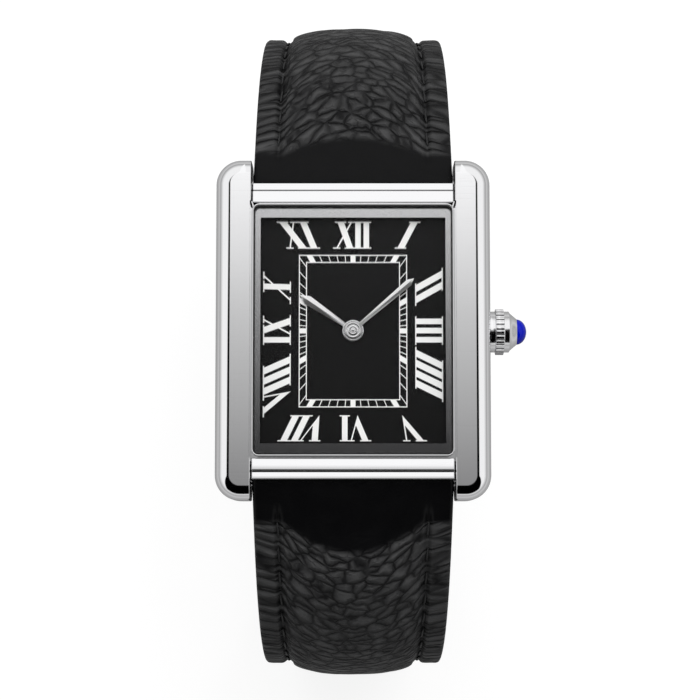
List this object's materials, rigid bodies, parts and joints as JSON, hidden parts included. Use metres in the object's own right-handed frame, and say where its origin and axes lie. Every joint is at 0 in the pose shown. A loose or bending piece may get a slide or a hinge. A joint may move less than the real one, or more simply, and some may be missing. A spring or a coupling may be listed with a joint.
{
  "type": "wristwatch",
  "caption": "Rectangular wristwatch with side rails, black dial, lance hands, knurled crown with blue cabochon and a padded leather strap, unbuckled.",
  "frame": {"origin": "centre of the case back's outer face, under the hands' axis", "axes": "+Z out of the dial, +Y towards 12 o'clock, +X towards the crown"},
  "size_m": [0.031, 0.0702, 0.0606],
  "materials": {
    "polished_steel": "polished",
    "brushed_steel": "brushed",
    "crystal": "polished",
    "seal": "matt",
    "flange_grey": "satin",
    "dial_black": "matt",
    "print_white": "matt",
    "brass": "satin",
    "plastic_ivory": "moulded",
    "board_green": "satin",
    "copper": "enamelled wire",
    "iron_grey": "satin",
    "cabochon_blue": "polished",
    "strap_black": "grained",
    "lining_black": "smooth",
    "padding": "felt"
  },
  "bodies": {
    "case": {"case_body": "polished_steel", "bezel": "polished_steel", "crystal": "crystal", "crystal_gasket": "seal", "dial_flange": "flange_grey", "dial": "dial_black", "dial_print": "print_white", "stator": "iron_grey", "coil_core": "iron_grey", "coil_winding": "copper", "main_plate": "brass", "train_bridge": "brass", "bridge_screws": "brushed_steel", "circuit_board": "board_green", "quartz_can": "brushed_steel", "battery": "brushed_steel", "battery_clamp": "brass", "movement_holder": "plastic_ivory", "case_back": "brushed_steel", "case_back_gasket": "seal", "case_back_screws": "brushed_steel", "crown_tube": "brushed_steel", "spring_bar_sleeves": "brushed_steel", "spring_bar_tips": "brushed_steel", "spring_bar_springs": "brushed_steel"},
    "minute_hand": {"minute_hand": "polished_steel", "cannon_pinion": "polished_steel", "centre_wheel": "polished_steel"},
    "hour_hand": {"hour_hand": "polished_steel", "hour_wheel": "brass"},
    "minute_wheel": {"minute_wheel": "brass"},
    "setting_wheel": {"setting_wheel": "brushed_steel"},
    "intermediate_wheel": {"intermediate_wheel": "brass"},
    "rotor": {"rotor": "iron_grey"},
    "clutch": {"clutch_pinion": "brushed_steel"},
    "crown": {"crown": "polished_steel", "crown_cabochon": "cabochon_blue", "crown_gasket": "seal", "stem": "brushed_steel"},
    "setting_lever": {"setting_lever": "brushed_steel"},
    "strap_12": {"strap_12_leather": "strap_black", "strap_12_padding": "padding", "strap_12_lining": "lining_black", "fixed_keeper": "strap_black"},
    "free_keeper": {"free_keeper": "strap_black"},
    "buckle": {"buckle_frame": "polished_steel", "buckle_bar": "brushed_steel", "buckle_bar_tips": "brushed_steel"},
    "tang": {"buckle_tang": "polished_steel"},
    "strap_6": {"strap_6_leather": "strap_black", "strap_6_padding": "padding", "strap_6_lining": "lining_black"}
  },
  "joints": [
    {"name": "minute_hand_turn", "type": "hinge", "parent": "case", "child": "minute_hand", "pos_m": [0, 0, 0], "axis": [0, 0, -1], "continuous": true},
    {"name": "hour_hand_turn", "type": "hinge", "parent": "case", "child": "hour_hand", "pos_m": [0, 0, 0], "axis": [0, 0, -1], "continuous": true},
    {"name": "minute_wheel_turn", "type": "hinge", "parent": "case", "child": "minute_wheel", "pos_m": [0.00197, -0.00138, 0], "axis": [0, 0, -1], "continuous": true},
    {"name": "setting_wheel_turn", "type": "hinge", "parent": "case", "child": "setting_wheel", "pos_m": [0.00457, -0.00138, 0], "axis": [0, 0, -1], "continuous": true},
    {"name": "intermediate_wheel_turn", "type": "hinge", "parent": "case", "child": "intermediate_wheel", "pos_m": [-0.0005, 0.00282, 0], "axis": [0, 0, -1], "continuous": true},
    {"name": "rotor_turn", "type": "hinge", "parent": "case", "child": "rotor", "pos_m": [-0.00309, 0.00387, 0], "axis": [0, 0, -1], "continuous": true},
    {"name": "crown_turn", "type": "hinge", "parent": "case", "child": "clutch", "pos_m": [0, 0, 0.00245], "axis": [1, 0, 0], "continuous": true},
    {"name": "crown_pull", "type": "slide", "parent": "clutch", "child": "crown", "axis": [1, 0, 0], "range_m": [0, 0.0008]},
    {"name": "setting_lever_swing", "type": "hinge", "parent": "case", "child": "setting_lever", "pos_m": [0.00712, 0.002, 0], "axis": [0, 0, 1], "range_deg": [0, 23.5]},
    {"name": "strap_12_swing", "type": "hinge", "parent": "case", "child": "strap_12", "pos_m": [0, 0.015, 0.002], "axis": [1, 0, 0], "range_deg": [-6, 38]},
    {"name": "strap_6_swing", "type": "hinge", "parent": "case", "child": "strap_6", "pos_m": [0, -0.015, 0.002], "axis": [-1, 0, 0], "range_deg": [-6, 38]},
    {"name": "free_keeper_slide", "type": "slide", "parent": "strap_12", "child": "free_keeper", "axis": [0, -1, 0], "range_m": [0, 0.0035]},
    {"name": "buckle_swing", "type": "hinge", "parent": "strap_12", "child": "buckle", "pos_m": [0, -0.0037, -0.03459], "axis": [1, 0, 0], "range_deg": [-60, 40]},
    {"name": "tang_swing", "type": "hinge", "parent": "buckle", "child": "tang", "pos_m": [0, -0.0037, -0.03459], "axis": [1, 0, 0], "range_deg": [0, 75]}
  ],
  "couplings": [
    {"joint": "hour_hand_turn", "follows": "minute_hand_turn", "ratio": 0.083333},
    {"joint": "minute_wheel_turn", "follows": "minute_hand_turn", "ratio": -0.33333},
    {"joint": "setting_wheel_turn", "follows": "minute_hand_turn", "ratio": 0.75},
    {"joint": "intermediate_wheel_turn", "follows": "minute_hand_turn", "ratio": -10},
    {"joint": "rotor_turn", "follows": "minute_hand_turn", "ratio": 90},
    {"joint": "setting_lever_swing", "follows": "crown_pull", "rad_per_m": 500}
  ]
}
